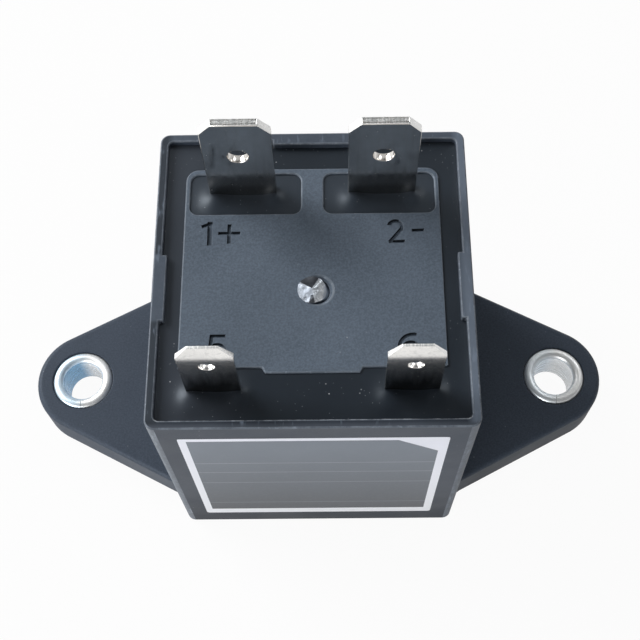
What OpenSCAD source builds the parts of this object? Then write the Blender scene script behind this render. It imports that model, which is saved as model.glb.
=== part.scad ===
// High voltage DC contactor, sealed type, with two mounting ears and four push-on tabs.
// Millimetres. +Z is up, +X runs from ear to ear, the label face looks toward -Y.
// The origin is the middle of the underside of the case.

/* [Case] */
// Width across the two side walls
case_w = 29; // [28.5:0.1:32]
// Depth from the label face to the back face
case_d = 29.7; // [29.2:0.1:33]
// Height from the underside to the rim
case_h = 31.5; // [31:0.1:34]
// Thickness of the side walls
wall = 0.8; // [0.6:0.05:1]
// Thickness of the floor
floor_t = 1.5; // [1:0.1:2]
// Radius of the upright outer edges
edge_r = 0.9; // [0.5:0.1:1.4]
// Thickness of the guide ribs inside the walls
rib_t = 0.45; // [0.2:0.05:0.6]
// Width of the guide ribs inside the walls
rib_w = 6.6; // [4:0.1:8]
// Offset of the side ribs toward the label face
rib_y = 1.4; // [0:0.1:3]

/* [Mounting ears] */
// Distance of a mounting hole from the side wall
ear_reach = 11.9; // [10:0.1:15]
// Height of the ears
ear_h = 4.8; // [4:0.1:6]
// Radius of the rounded end of an ear
ear_r = 5.8; // [5:0.1:6.6]
// Distance from the hole centre to the tip of the ear
ear_tip = 5.15; // [4.5:0.05:6]
// Distance of the ear's root from the front and back faces
ear_inset = 2.45; // [2.3:0.05:5]
// Bevel round the top edge of the ears
ear_bevel = 0.6; // [0.2:0.1:1]
// Size of the fillet between an ear and the side wall
ear_fillet = 1.3; // [0.5:0.1:1.4]

/* [Bushes] */
// Outer diameter of the steel bush in each ear
bush_od = 6.7; // [6:0.1:7.4]
// Hole through the bush
bush_hole = 4.3; // [3.4:0.1:4.8]
// How far the bush stands above the ear
bush_stand = 0.15; // [0:0.05:0.4]

/* [Cover] */
// Depth of the top face of the cover under the rim
plate_drop = 0.6; // [0.3:0.1:1]
// Width of the resin channel at the side walls
side_channel = 1.75; // [1.4:0.05:2]
// Width of the resin channel at the back wall
back_channel = 2.8; // [2:0.1:3.2]
// Width of the resin area at the front wall
front_channel = 5; // [4.4:0.1:5.6]
// Reach of the tongue in the front edge
tongue = 0.5; // [0.2:0.1:0.8]
// Width of the tongue
tongue_w = 8.4; // [6:0.1:9.4]
// Height of the raised top above the flange
plate_rise = 2.5; // [2.2:0.1:3]
// Thickness of the flange
flange_t = 1.2; // [0.8:0.1:1.6]
// Corner radius of the raised top
plate_r = 1.2; // [0.5:0.1:1.8]
// Width of the web between the two pockets
mid_web = 2.14; // [1.8:0.02:2.6]
// Depth of the pocket from front to back
pocket_d = 4.3; // [3:0.1:4.6]
// Width of the web beside a pocket
side_web = 0.48; // [0.3:0.02:0.7]
// Width of the web behind a pocket
back_web = 0.57; // [0.4:0.01:0.8]
// Depth of the pocket below the top face
pocket_h = 2; // [1:0.1:2.2]
// Corner radius of the pocket
pocket_r = 0.8; // [0.3:0.1:1.2]
// Gap between the cover and the walls round it
cover_fit = 0.1; // [0.05:0.05:0.2]

/* [Potting] */
// Depth of the resin surface under the rim
resin_drop = 1; // [0.8:0.1:1.6]
// Depth of the resin in a pocket under the top face
pocket_drop = 0.5; // [0.2:0.1:0.8]

/* [Load tabs] */
// Width of a load tab
load_w = 6.3; // [5.6:0.1:6.4]
// Thickness of a load tab
load_t = 0.8; // [0.6:0.05:1]
// Gap between a load tab and the walls of the arc chamber
load_fit = 0.35; // [0.2:0.05:0.6]
// Height of the load tabs above the rim
load_h = 10.85; // [9:0.05:14]
// Height of the hole in a load tab above the rim
load_hole_h = 5.9; // [4:0.1:7]
// Hole in a load tab
load_hole = 1.9; // [1.2:0.1:2.4]
// Height of the narrowing at the tip
load_cut_h = 1.35; // [1:0.05:2.4]
// Narrowing of the tip on each side
load_cut = 1.15; // [0.5:0.05:1.4]
// Bevel on both faces at the tip
load_lip = 0.1; // [0.05:0.05:0.25]

/* [Coil tabs] */
// Width of a coil tab
coil_w = 4.8; // [4:0.1:5]
// Thickness of a coil tab
coil_t = 0.5; // [0.4:0.05:0.8]
// Distance of a coil tab from the side of the raised top
coil_side = 3.3; // [2.6:0.1:4]
// Distance of the coil tabs from the front wall
coil_front = 2.85; // [2.4:0.05:3.4]
// Height of the coil tabs above the rim
coil_h = 8.55; // [7:0.05:11]
// Height of the hole in a coil tab above the rim
coil_hole_h = 5.1; // [3:0.1:6]
// Hole in a coil tab
coil_hole = 1.4; // [1:0.1:1.8]
// Height of the narrowing at the tip
coil_cut_h = 1.65; // [0.8:0.05:2]
// Narrowing of the tip on each side
coil_cut = 0.95; // [0.4:0.05:1.2]
// Bevel on both faces at the tip
coil_lip = 0.1; // [0.05:0.05:0.15]
// Height of the bevel at the tip
coil_lip_h = 1.3; // [0.5:0.1:2]

/* [Sealing tube] */
// Diameter of the crimped tube
tube_d = 2.5; // [2:0.1:2.8]
// Recess round the tube in the top face
tube_recess = 3.3; // [3:0.1:4]
// Offset of the tube to the right
tube_x = 0.3; // [-0.5:0.05:0.5]
// Position of the tube toward the label
tube_y = 1.55; // [1:0.05:2]
// Depth of the recess round the tube
tube_recess_h = 1.2; // [0.8:0.1:1.6]
// Depth of the crimped end under the top face
tube_drop = 0.2; // [0.1:0.05:0.6]

/* [Label] */
// Margin beside the label
label_side = 2.5; // [1.5:0.1:5]
// Lower edge of the label
label_z = 3.2; // [2:0.1:6]
// Margin above the label
label_gap = 2.8; // [1.5:0.1:5]
// Thickness of the label and depth of its recess
label_t = 0.1; // [0.05:0.05:0.2]

/* [Contacts] */
// Diameter of the fixed contacts
fixed_d = 3.4; // [2.6:0.1:4]
// Height of the fixed contacts
fixed_h = 0.9; // [0.6:0.1:1.2]
// Diameter of the contacts on the bridge
tip_d = 3; // [2.4:0.1:3.6]
// Height of the contacts on the bridge
tip_h = 0.7; // [0.5:0.1:1]
// Diameter of the rivet shanks
shank_d = 1.6; // [1:0.1:2]
// Travel that closes the contacts
contact_gap = 1.4; // [1:0.1:1.6]
// Gap left where moving pieces meet
touch_gap = 0.1; // [0.05:0.05:0.2]
// Reach of the bridge past its contacts
bridge_over = 0.5; // [0.2:0.1:1]
// Depth of the contact bridge
bridge_d = 4; // [3.4:0.1:4.2]
// Thickness of the contact bridge
bridge_t = 1.2; // [0.8:0.1:1.4]

/* [Carrier] */
// Gap under the carrier at rest
carrier_gap = 0.3; // [0.2:0.05:0.4]
// Diameter of the post through the bridge
post_d = 3; // [2.8:0.1:3.1]
// Diameter of the spring seat on the carrier
seat_d = 6.6; // [6.6:0.1:7]
// Thickness of the spring seat
seat_t = 1; // [0.7:0.1:1.3]
// Thickness of the two guide arms
arm_t = 0.7; // [0.5:0.05:0.7]
// Width of the two guide arms
arm_w = 2.6; // [2:0.1:2.8]
// Outer diameter of the retaining ring
ring_d = 4.6; // [4.2:0.1:5]
// Thickness of the retaining ring
ring_t = 0.4; // [0.3:0.05:0.6]
// Depth of the groove for the retaining ring
groove = 0.35; // [0.2:0.05:0.5]
// Height of the post above the retaining ring
post_over = 0.5; // [0.3:0.1:0.7]
// Wire of the contact spring
touch_wire = 0.3; // [0.2:0.02:0.34]

/* [Drive] */
// Stroke of the plunger
stroke = 1.8; // [1.6:0.1:2.2]
// Gap left between plunger and fixed core at the end of the stroke
stop_gap = 0.3; // [0.2:0.05:0.5]
// Height of the plunger
plunger_h = 4.5; // [4:0.1:5]
// Diameter of the shaft
shaft_d = 2; // [1.6:0.1:2.2]
// Grip of the carrier on the shaft above the spring seat
shaft_grip = 2; // [1.5:0.1:2.5]
// Thickness of the plunger under the shaft
plunger_end = 0.5; // [0.4:0.1:1]
// Running clearance on the radius
run = 0.08; // [0.04:0.01:0.1]
// Outer diameter of the guide can
can_d = 9; // [8.6:0.1:9.4]
// Wall of the guide can
can_t = 0.3; // [0.2:0.05:0.4]
// Thickness of the rubber pad under the plunger
pad_t = 0.7; // [0.4:0.1:1]
// Diameter of the bore for the return spring
return_bore = 4.6; // [4.2:0.1:5]
// Depth of each bore for the return spring
return_depth = 2; // [1.5:0.1:2.4]
// Wire of the return spring
return_wire = 0.4; // [0.3:0.02:0.5]

/* [Coil and yoke] */
// Thickness of the yoke
yoke_t = 1.5; // [1.2:0.1:1.6]
// Gap between the yoke and the guide ribs
yoke_fit = 0.75; // [0.4:0.05:1]
// Depth of the yoke
yoke_d = 15; // [12:0.1:15.4]
// Gap between the bobbin flanges and the yoke
bobbin_fit = 1; // [0.5:0.1:1.5]
// Thickness of the bobbin wall and flanges
bobbin_t = 0.8; // [0.6:0.1:1]
// Set-back of the winding from the edge of the flanges
winding_set = 0.4; // [0.2:0.05:1]
// Height of the blocks that hold the coil tabs
block_h = 2.2; // [1.6:0.1:3]
// Length of the coil tabs below the blocks
tail_h = 0.8; // [0.6:0.1:1.4]
// Wire of the coil leads
lead_d = 0.5; // [0.3:0.05:0.6]

/* [Arc chamber] */
// Height of the arc chamber
chamber_h = 9.7; // [9.3:0.1:10.5]
// Front wall of the arc chamber
chamber_front = 8; // [7:0.1:9]
// Thickness of the chamber walls
chamber_t = 1; // [0.7:0.1:1.1]
// Thickness of the blowout magnets
magnet_t = 1.5; // [1:0.1:1.6]
// Depth of the blowout magnets
magnet_d = 10; // [6:0.1:13]
// Height of the blowout magnets
magnet_h = 7; // [5:0.1:8]

/* [Hidden] */
$fn = 48;
eps = 0.01;

// Places of the mounting holes and the ears
hole_pitch = case_w + 2 * ear_reach;
ear_root = case_d - 2 * ear_inset;

// Cavity of the case
in_w = case_w - 2 * wall;
in_d = case_d - 2 * wall;
in_r = max(edge_r - wall / 2, 0.3);

// Levels of the cover and the resin
cover_top = case_h - plate_drop;
flange_top = cover_top - plate_rise;
cover_z = flange_top - flange_t;
resin_top = case_h - resin_drop;
pocket_z = cover_top - pocket_h;
pocket_top = cover_top - pocket_drop;

// Size and place of the label
label_w = case_w - 2 * label_side;
label_h = case_h - label_z - label_gap;

// Raised top of the cover with its pockets
plate_w = in_w - 2 * side_channel;
plate_back = in_d / 2 - back_channel;
plate_front = in_d / 2 - front_channel;
pocket_w = plate_w / 2 - side_web - mid_web / 2;
pocket_x = (pocket_w + mid_web) / 2;
pocket_y = plate_back - back_web - pocket_d / 2;

// Yoke, bobbin and winding
bobbin_z = floor_t + yoke_t;
chamber_z = cover_z - chamber_h;
yoke_top_z = chamber_z - yoke_t;
bobbin_h = yoke_top_z - bobbin_z;
yoke_w = in_w - 2 * rib_t - 2 * yoke_fit;
bobbin_d = yoke_w - 2 * yoke_t - 2 * bobbin_fit;
winding_d = bobbin_d - 2 * winding_set;

// Arc chamber between the magnets, and the tabs that stand in it
chamber_w = yoke_w - 2 * magnet_t;
load_x = chamber_w / 2 - chamber_t - load_fit - load_w / 2;
load_y = pocket_y;
chamber_back = load_y + load_t + load_fit + chamber_t;
coil_x = plate_w / 2 - coil_side;
coil_y = in_d / 2 - coil_front;

// Levels of the contacts
foot_z = cover_z - load_t;
fixed_z = foot_z - fixed_h;
tip_z = fixed_z - contact_gap - touch_gap - tip_h;
bridge_z = tip_z - bridge_t;
bridge_w = 2 * (load_x + tip_d / 2 + bridge_over);

// Carrier on top of the shaft
seat_z = chamber_z + carrier_gap;
seat_top = seat_z + seat_t;
ring_z = tip_z + touch_gap;
post_top = ring_z + ring_t + post_over;
arm_in = bridge_d / 2 + run;
shaft_top = seat_top + shaft_grip;

// Levels of the plunger and the fixed core
can_in = can_d / 2 - can_t;
plunger_z = bobbin_z + can_t + pad_t + touch_gap;
plunger_top = plunger_z + plunger_h;
core_z = plunger_top + stroke + stop_gap;

// Blocks of the bobbin that hold the coil tabs
block_z = yoke_top_z - block_h;
coil_foot = block_z - tail_h;

// Points of an arc of radius r about (x, y)
function arc(x, y, r, a0, a1, n = 6) =
    [for (i = [0:n]) [x + r * cos(a0 + (a1 - a0) * i / n), y + r * sin(a0 + (a1 - a0) * i / n)]];

// Outline of a rectangle with rounded corners, about the origin
function rounded(w, d, r) = concat(
    arc(w / 2 - r, d / 2 - r, r, 0, 90),
    arc(r - w / 2, d / 2 - r, r, 90, 180),
    arc(r - w / 2, r - d / 2, r, 180, 270),
    arc(w / 2 - r, r - d / 2, r, 270, 360));

// Outline of the raised top of the cover with its tongue
function plate_outline() = concat(
    arc(plate_w / 2 - plate_r, plate_back - plate_r, plate_r, 0, 90),
    arc(plate_r - plate_w / 2, plate_back - plate_r, plate_r, 90, 180),
    [[-plate_w / 2, -plate_front],
     [-tongue_w / 2 - 1.5 * tongue, -plate_front],
     [-tongue_w / 2, -plate_front - tongue],
     [tongue_w / 2, -plate_front - tongue],
     [tongue_w / 2 + 1.5 * tongue, -plate_front],
     [plate_w / 2, -plate_front]]);

// Front outline of a tab from z0 to z1, narrowed at the tip
function tab_outline(w, z0, z1, dw, dh) =
    [[-w / 2, z0], [w / 2, z0], [w / 2, z1 - dh], [w / 2 - dw, z1], [dw - w / 2, z1], [-w / 2, z1 - dh]];

// Upright prism from an outline drawn in X and Z, from y0 to y1
module upright(points, y0, y1) {
    translate([0, y1, 0])
        rotate([90, 0, 0])
            linear_extrude(y1 - y0)
                polygon(points);
}

// Prism from an outline drawn in Y and Z, from x0 to x1
module sideways(points, x0, x1) {
    translate([x0, 0, 0])
        rotate([90, 0, 90])
            linear_extrude(x1 - x0)
                polygon(points);
}

// Round wire wound on radius r from z0 to z1
module coil_spring(r, wire, z0, z1, turns) {
    steps = 16 * turns;
    sides = 6;
    rise = z1 - z0 - wire;
    points = [for (i = [0:steps], j = [0:sides - 1])
        let (a = 360 * i / 16, b = 360 * j / sides, q = r + wire / 2 * cos(b))
        [q * cos(a), q * sin(a), z0 + wire / 2 + rise * i / steps + wire / 2 * sin(b)]];
    skin = [for (i = [0:steps - 1], j = [0:sides - 1])
        let (k = (j + 1) % sides)
        [i * sides + j, (i + 1) * sides + j, (i + 1) * sides + k, i * sides + k]];
    ends = [[for (j = [0:sides - 1]) j], [for (j = [sides - 1:-1:0]) steps * sides + j]];
    polyhedron(points, concat(skin, ends), convexity = 8);
}

// Guide ribs that run up the two side walls and the back wall, as thick as t
module ribs(t, z0, z1, play = 0) {
    for (s = [-1, 1])
        translate([s * (in_w - t) / 2, -rib_y, (z0 + z1) / 2])
            cube([t + eps, rib_w + 2 * play, z1 - z0], center = true);
    translate([0, (in_d - t) / 2, (z0 + z1) / 2])
        cube([rib_w + 2 * play, t + eps, z1 - z0], center = true);
}

// One ear on the +X side, without its hole
module ear() {
    end_x = hole_pitch / 2 + ear_tip - ear_r;
    low = ear_h - ear_bevel;
    hull() {
        translate([end_x, 0, 0])
            cylinder(r = ear_r, h = low);
        translate([end_x, 0, 0])
            cylinder(r = ear_r - ear_bevel, h = ear_h);
        translate([case_w / 2 - 1, -ear_root / 2, 0])
            cube([1, ear_root, low]);
        translate([case_w / 2 - 1, ear_bevel - ear_root / 2, 0])
            cube([1, ear_root - 2 * ear_bevel, ear_h]);
    }
    for (s = [-1, 1])
        linear_extrude(low)
            polygon(fillet_outline(s));
}

// Outline of the fillet between one side of an ear and the side wall
function fillet_outline(s) =
    let (a = [case_w / 2, s * ear_root / 2],
         dx = hole_pitch / 2 + ear_tip - ear_r - case_w / 2,
         t = atan2(ear_root / 2, dx) - asin(ear_r / norm([dx, ear_root / 2])),
         p = a + [0, s * ear_fillet],
         q = a + ear_fillet * [cos(t), -s * sin(t)],
         b = a + [-0.3, -s * 0.3])
    concat([b, [a[0] - 0.3, p[1]]], [for (i = [0:4]) let (u = i / 4)
        (1 - u) * (1 - u) * p + 2 * u * (1 - u) * a + u * u * q], [q - s * [0, 0.3]]);

module case() {
    color([0.16, 0.17, 0.19])
        difference() {
            union() {
                linear_extrude(case_h)
                    polygon(rounded(case_w, case_d, edge_r));
                ear();
                mirror([1, 0, 0])
                    ear();
            }
            difference() {
                translate([0, 0, floor_t])
                    linear_extrude(case_h)
                        polygon(rounded(in_w, in_d, in_r));
                ribs(rib_t, 0, case_h);
            }
            for (s = [-1, 1])
                translate([s * hole_pitch / 2, 0, -1])
                    cylinder(d = bush_od, h = ear_h + 2);
            translate([-label_w / 2, -case_d / 2 - 1, label_z])
                cube([label_w, label_t + 1, label_h]);
        }
}

module mounting_bushes() {
    color([0.78, 0.8, 0.82])
        for (s = [-1, 1])
            translate([s * hole_pitch / 2, 0, 0])
                difference() {
                    cylinder(d = bush_od, h = ear_h + bush_stand);
                    translate([0, 0, -1])
                        cylinder(d = bush_hole, h = ear_h + 3);
                }
}

module inner_cover() {
    color([0.27, 0.29, 0.32])
        difference() {
            union() {
                difference() {
                    translate([0, 0, cover_z])
                        linear_extrude(flange_t)
                            polygon(rounded(in_w - 2 * cover_fit, in_d - 2 * cover_fit, in_r));
                    ribs(rib_t + cover_fit, cover_z - 1, cover_top, cover_fit);
                }
                translate([0, 0, flange_top - 0.2])
                    linear_extrude(plate_rise + 0.2)
                        polygon(plate_outline());
            }
            for (s = [-1, 1]) {
                translate([s * pocket_x, pocket_y, pocket_z])
                    linear_extrude(pocket_h + 1)
                        polygon(rounded(pocket_w, pocket_d, pocket_r));
                translate([s * load_x, load_y + load_t / 2, cover_z])
                    cube([load_w + 2 * eps, load_t + 2 * eps, 4 * flange_t], center = true);
                translate([s * coil_x, coil_t / 2 - coil_y, cover_z])
                    cube([coil_w + 2 * eps, coil_t + 2 * eps, 4 * flange_t], center = true);
            }
            translate([tube_x, -tube_y, cover_z - 1])
                cylinder(d = tube_d, h = cover_top - cover_z + 2);
            translate([tube_x, -tube_y, cover_top - tube_recess_h])
                cylinder(d = tube_recess, h = tube_recess_h + 1);
        }
}

module potting() {
    color([0.1, 0.11, 0.13])
        difference() {
            union() {
                difference() {
                    translate([0, 0, flange_top])
                        linear_extrude(resin_top - flange_top)
                            polygon(rounded(in_w, in_d, in_r));
                    ribs(rib_t, cover_z, case_h);
                    translate([0, 0, cover_z])
                        linear_extrude(case_h)
                            polygon(plate_outline());
                }
                for (s = [-1, 1])
                    translate([s * pocket_x, pocket_y, pocket_z])
                        linear_extrude(pocket_top - pocket_z)
                            polygon(rounded(pocket_w, pocket_d, pocket_r));
            }
            for (s = [-1, 1]) {
                translate([s * load_x, load_y + load_t / 2, cover_top])
                    cube([load_w, load_t, 4 * pocket_h], center = true);
                translate([s * coil_x, coil_t / 2 - coil_y, cover_top])
                    cube([coil_w, coil_t, 4 * plate_rise], center = true);
            }
        }
}

module rating_label() {
    color([0.55, 0.56, 0.6])
        translate([-label_w / 2, -case_d / 2, label_z])
            cube([label_w, label_t, label_h]);
}

// Load tab with its foot, for the side s
module load_terminal(s) {
    top = case_h + load_h;
    back = load_y + load_t;
    toe = -fixed_d / 2 - 0.3;
    color([0.72, 0.72, 0.7])
        translate([s * load_x, 0, 0])
            difference() {
                intersection() {
                    upright(tab_outline(load_w, foot_z, top, load_cut, load_cut_h), toe, back);
                    sideways([[toe, foot_z], [back, foot_z], [back, top - load_lip],
                              [back - load_lip, top], [load_y + load_lip, top],
                              [load_y, top - load_lip], [load_y, cover_z], [toe, cover_z]],
                             -load_w, load_w);
                }
                translate([0, back + 1, case_h + load_hole_h])
                    rotate([90, 0, 0])
                        cylinder(d = load_hole, h = load_t + 2);
                translate([0, 0, foot_z - 1])
                    cylinder(d = shank_d, h = load_t + 2);
            }
}

module load_terminal_1() {
    load_terminal(-1);
}

module load_terminal_2() {
    load_terminal(1);
}

// Coil tab that stands in the bobbin, for the side s
module coil_terminal(s) {
    top = case_h + coil_h;
    back = coil_t - coil_y;
    color([0.76, 0.75, 0.72])
        translate([s * coil_x, 0, 0])
            difference() {
                intersection() {
                    upright(tab_outline(coil_w, coil_foot, top, coil_cut, coil_cut_h), -coil_y, back);
                    sideways([[-coil_y, coil_foot], [back, coil_foot], [back, top - coil_lip_h],
                              [back - coil_lip, top], [coil_lip - coil_y, top],
                              [-coil_y, top - coil_lip_h]], -coil_w, coil_w);
                }
                translate([0, back + 1, case_h + coil_hole_h])
                    rotate([90, 0, 0])
                        cylinder(d = coil_hole, h = coil_t + 2);
            }
}

module coil_terminal_5() {
    coil_terminal(-1);
}

module coil_terminal_6() {
    coil_terminal(1);
}

module sealing_tube() {
    end = cover_top - tube_drop;
    color([0.8, 0.8, 0.82])
        translate([tube_x, -tube_y, 0])
            difference() {
                union() {
                    translate([0, 0, cover_z - 0.3])
                        cylinder(d = tube_d, h = end - cover_z - 0.3);
                    translate([0, 0, end - 0.7])
                        rotate([0, 0, 45])
                            cylinder(d1 = tube_d - 0.2, d2 = 0.3, h = 0.7, $fn = 4);
                }
                translate([0, 0, cover_z - 1])
                    cylinder(d = tube_d / 2, h = end - cover_z - 0.6);
            }
}

module fixed_contacts() {
    color([0.85, 0.84, 0.8])
        for (s = [-1, 1])
            translate([s * load_x, 0, fixed_z]) {
                cylinder(d = fixed_d, h = fixed_h);
                cylinder(d = shank_d, h = fixed_h + load_t);
            }
}

module arc_chamber() {
    depth = chamber_front + chamber_back;
    color([0.86, 0.84, 0.78])
        difference() {
            translate([-chamber_w / 2, -chamber_front, chamber_z])
                cube([chamber_w, depth, chamber_h]);
            translate([chamber_t - chamber_w / 2, chamber_t - chamber_front, chamber_z + chamber_t])
                cube([chamber_w - 2 * chamber_t, depth - 2 * chamber_t, chamber_h]);
            translate([0, 0, chamber_z - 1])
                cylinder(d = seat_d + 0.8, h = chamber_t + 2);
        }
}

module blowout_magnets() {
    color([0.3, 0.3, 0.32])
        for (s = [-1, 1])
            translate([s * (chamber_w + magnet_t) / 2, 0, chamber_z + magnet_h / 2])
                cube([magnet_t, magnet_d, magnet_h], center = true);
}

module contact_bridge() {
    color([0.76, 0.46, 0.3])
        difference() {
            translate([-bridge_w / 2, -bridge_d / 2, bridge_z])
                cube([bridge_w, bridge_d, bridge_t]);
            translate([0, 0, bridge_z - 1])
                cylinder(d = post_d + 2 * run, h = bridge_t + 2);
            for (s = [-1, 1])
                translate([s * load_x, 0, bridge_z - 1])
                    cylinder(d = shank_d, h = bridge_t + 2);
        }
}

module bridge_contacts() {
    color([0.85, 0.84, 0.8])
        for (s = [-1, 1])
            translate([s * load_x, 0, bridge_z]) {
                translate([0, 0, bridge_t])
                    cylinder(d = tip_d, h = tip_h);
                cylinder(d = shank_d, h = bridge_t + tip_h / 2);
            }
}

module contact_spring() {
    color([0.7, 0.71, 0.73])
        coil_spring((post_d + touch_wire) / 2 + 0.15, touch_wire, seat_top, bridge_z - 0.05, 4);
}

module bridge_carrier() {
    color([0.85, 0.8, 0.66])
        difference() {
            union() {
                translate([0, 0, seat_z])
                    cylinder(d = seat_d, h = seat_t);
                translate([0, 0, seat_z])
                    cylinder(d = post_d, h = post_top - seat_z);
                for (s = [-1, 1])
                    translate([0, s * (arm_in + arm_t / 2), seat_top + (tip_z - seat_top) / 2])
                        cube([arm_w, arm_t, tip_z - seat_top], center = true);
            }
            translate([0, 0, seat_z - 1])
                cylinder(d = shaft_d, h = shaft_top - seat_z + 1);
            translate([0, 0, ring_z])
                difference() {
                    cylinder(d = post_d + 1, h = ring_t);
                    translate([0, 0, -1])
                        cylinder(d = post_d - 2 * groove, h = ring_t + 2);
                }
        }
}

module retaining_ring() {
    color([0.6, 0.61, 0.63])
        translate([0, 0, ring_z])
            difference() {
                cylinder(d = ring_d, h = ring_t);
                translate([0, 0, -1])
                    cylinder(d = post_d - 2 * groove, h = ring_t + 2);
                translate([0, -ring_d / 2, 0])
                    cube([post_d / 2, ring_d, 4], center = true);
            }
}

module plunger_shaft() {
    color([0.7, 0.71, 0.73])
        translate([0, 0, plunger_z + plunger_end])
            cylinder(d = shaft_d, h = shaft_top - plunger_z - plunger_end);
}

module plunger() {
    color([0.5, 0.51, 0.54])
        translate([0, 0, plunger_z])
            difference() {
                cylinder(r = can_in - run, h = plunger_h);
                translate([0, 0, plunger_end])
                    cylinder(d = shaft_d, h = plunger_h);
                translate([0, 0, plunger_h - return_depth])
                    cylinder(d = return_bore, h = return_depth + 1);
            }
}

module return_spring() {
    color([0.7, 0.71, 0.73])
        coil_spring((shaft_d + return_bore) / 4, return_wire,
                    plunger_top - return_depth + 0.05, core_z + return_depth, 5);
}

module fixed_core() {
    color([0.5, 0.51, 0.54])
        translate([0, 0, core_z])
            difference() {
                cylinder(r = can_in, h = chamber_z - core_z);
                translate([0, 0, -1])
                    cylinder(r = shaft_d / 2 + run, h = chamber_z - core_z + 2);
                translate([0, 0, -1])
                    cylinder(d = return_bore, h = return_depth + 1);
            }
}

module plunger_can() {
    color([0.74, 0.75, 0.76])
        translate([0, 0, bobbin_z])
            difference() {
                cylinder(d = can_d, h = chamber_z - bobbin_z);
                translate([0, 0, can_t])
                    cylinder(r = can_in, h = chamber_z);
            }
}

module buffer_pad() {
    color([0.2, 0.2, 0.2])
        translate([0, 0, bobbin_z + can_t])
            cylinder(r = can_in - 0.6, h = pad_t);
}

module bobbin() {
    core = can_d / 2 + cover_fit;
    color([0.8, 0.78, 0.72])
        difference() {
            union() {
                translate([0, 0, bobbin_z])
                    cylinder(d = bobbin_d, h = bobbin_t);
                translate([0, 0, bobbin_z])
                    cylinder(r = core + bobbin_t, h = bobbin_h);
                translate([0, 0, yoke_top_z - bobbin_t])
                    cylinder(d = bobbin_d, h = bobbin_t);
                for (s = [-1, 1])
                    translate([s * coil_x, coil_t / 2 - coil_y, block_z + block_h / 2])
                        cube([coil_w + 1.4, coil_t + 1.8, block_h], center = true);
                translate([-coil_x, -coil_y, yoke_top_z - bobbin_t])
                    cube([2 * coil_x, coil_y - yoke_d / 2, bobbin_t]);
            }
            translate([0, 0, bobbin_z - 1])
                cylinder(r = core, h = bobbin_h + 2);
            for (s = [-1, 1])
                translate([s * coil_x, coil_t / 2 - coil_y, block_z])
                    cube([coil_w, coil_t, 3 * block_h], center = true);
        }
}

module coil_winding() {
    inner = can_d / 2 + cover_fit + bobbin_t;
    color([0.62, 0.36, 0.2])
        translate([0, 0, bobbin_z + bobbin_t])
            difference() {
                cylinder(d = winding_d, h = bobbin_h - 2 * bobbin_t);
                translate([0, 0, -1])
                    cylinder(r = inner, h = bobbin_h);
            }
}

module coil_leads() {
    reach = lead_d / 2 + 0.02;
    color([0.7, 0.4, 0.22])
        for (s = [-1, 1])
            hull() {
                translate([s * lead_d, -winding_d / 2 - reach, bobbin_z + bobbin_h / 2])
                    sphere(d = lead_d, $fn = 8);
                translate([s * (coil_x - coil_w / 4), coil_t - coil_y + reach, coil_foot + lead_d / 2])
                    sphere(d = lead_d, $fn = 8);
            }
}

module yoke_frame() {
    color([0.55, 0.56, 0.58])
        difference() {
            translate([-yoke_w / 2, -yoke_d / 2, floor_t])
                cube([yoke_w, yoke_d, bobbin_h + yoke_t]);
            translate([yoke_t - yoke_w / 2, -yoke_d, bobbin_z])
                cube([yoke_w - 2 * yoke_t, 2 * yoke_d, bobbin_h + 1]);
        }
}

module yoke_plate() {
    color([0.55, 0.56, 0.58])
        difference() {
            translate([-yoke_w / 2, -yoke_d / 2, yoke_top_z])
                cube([yoke_w, yoke_d, yoke_t]);
            translate([0, 0, yoke_top_z - 1])
                cylinder(d = can_d, h = yoke_t + 2);
        }
}

case();
mounting_bushes();
inner_cover();
potting();
rating_label();
load_terminal_1();
load_terminal_2();
coil_terminal_5();
coil_terminal_6();
sealing_tube();
fixed_contacts();
arc_chamber();
blowout_magnets();
contact_bridge();
bridge_contacts();
contact_spring();
bridge_carrier();
retaining_ring();
plunger_shaft();
plunger();
return_spring();
fixed_core();
plunger_can();
buffer_pad();
bobbin();
coil_winding();
coil_leads();
yoke_frame();
yoke_plate();
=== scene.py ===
import math
import bmesh
import bpy
from mathutils import Matrix, Vector


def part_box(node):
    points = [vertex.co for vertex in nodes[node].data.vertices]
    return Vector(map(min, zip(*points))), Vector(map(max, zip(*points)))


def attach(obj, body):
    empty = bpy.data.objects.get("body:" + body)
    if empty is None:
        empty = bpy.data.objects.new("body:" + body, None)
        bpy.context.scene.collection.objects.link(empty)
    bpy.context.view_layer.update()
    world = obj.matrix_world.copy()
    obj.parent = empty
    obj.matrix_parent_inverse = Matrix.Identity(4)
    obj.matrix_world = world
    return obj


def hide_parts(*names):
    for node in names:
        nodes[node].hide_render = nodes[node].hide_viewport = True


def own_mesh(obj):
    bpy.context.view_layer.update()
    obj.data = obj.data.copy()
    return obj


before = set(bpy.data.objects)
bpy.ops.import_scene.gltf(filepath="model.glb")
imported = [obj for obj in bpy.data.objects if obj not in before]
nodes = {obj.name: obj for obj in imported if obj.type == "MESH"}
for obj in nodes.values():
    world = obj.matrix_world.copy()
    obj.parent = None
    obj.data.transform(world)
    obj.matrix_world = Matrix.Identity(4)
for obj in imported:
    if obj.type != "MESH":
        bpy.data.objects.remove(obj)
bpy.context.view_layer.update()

# Sizes are in millimetres, in the frame of the CAD model; the studio's are in metres
MM = 0.001
CASE_LOW, CASE_HIGH, CASE_ROUND = (-14.5, -14.85, 0.0), (14.5, 14.85, 31.5), 0.9
INSIDE_X, INSIDE_Y, INSIDE_FLOOR, INSIDE_ROUND = 13.7, 14.05, 1.5, 0.5
EAR_TOP, EAR_ROOT_X, EAR_ROOT_Y, EAR_END_X, EAR_END_RADIUS = 4.8, 14, 12.4, 25.75, 5.8
EAR_FILLET, EAR_EDGE = 1.3, 0.6
HOLE_X, HOLE_RADIUS = 26.4, 3.35
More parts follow.
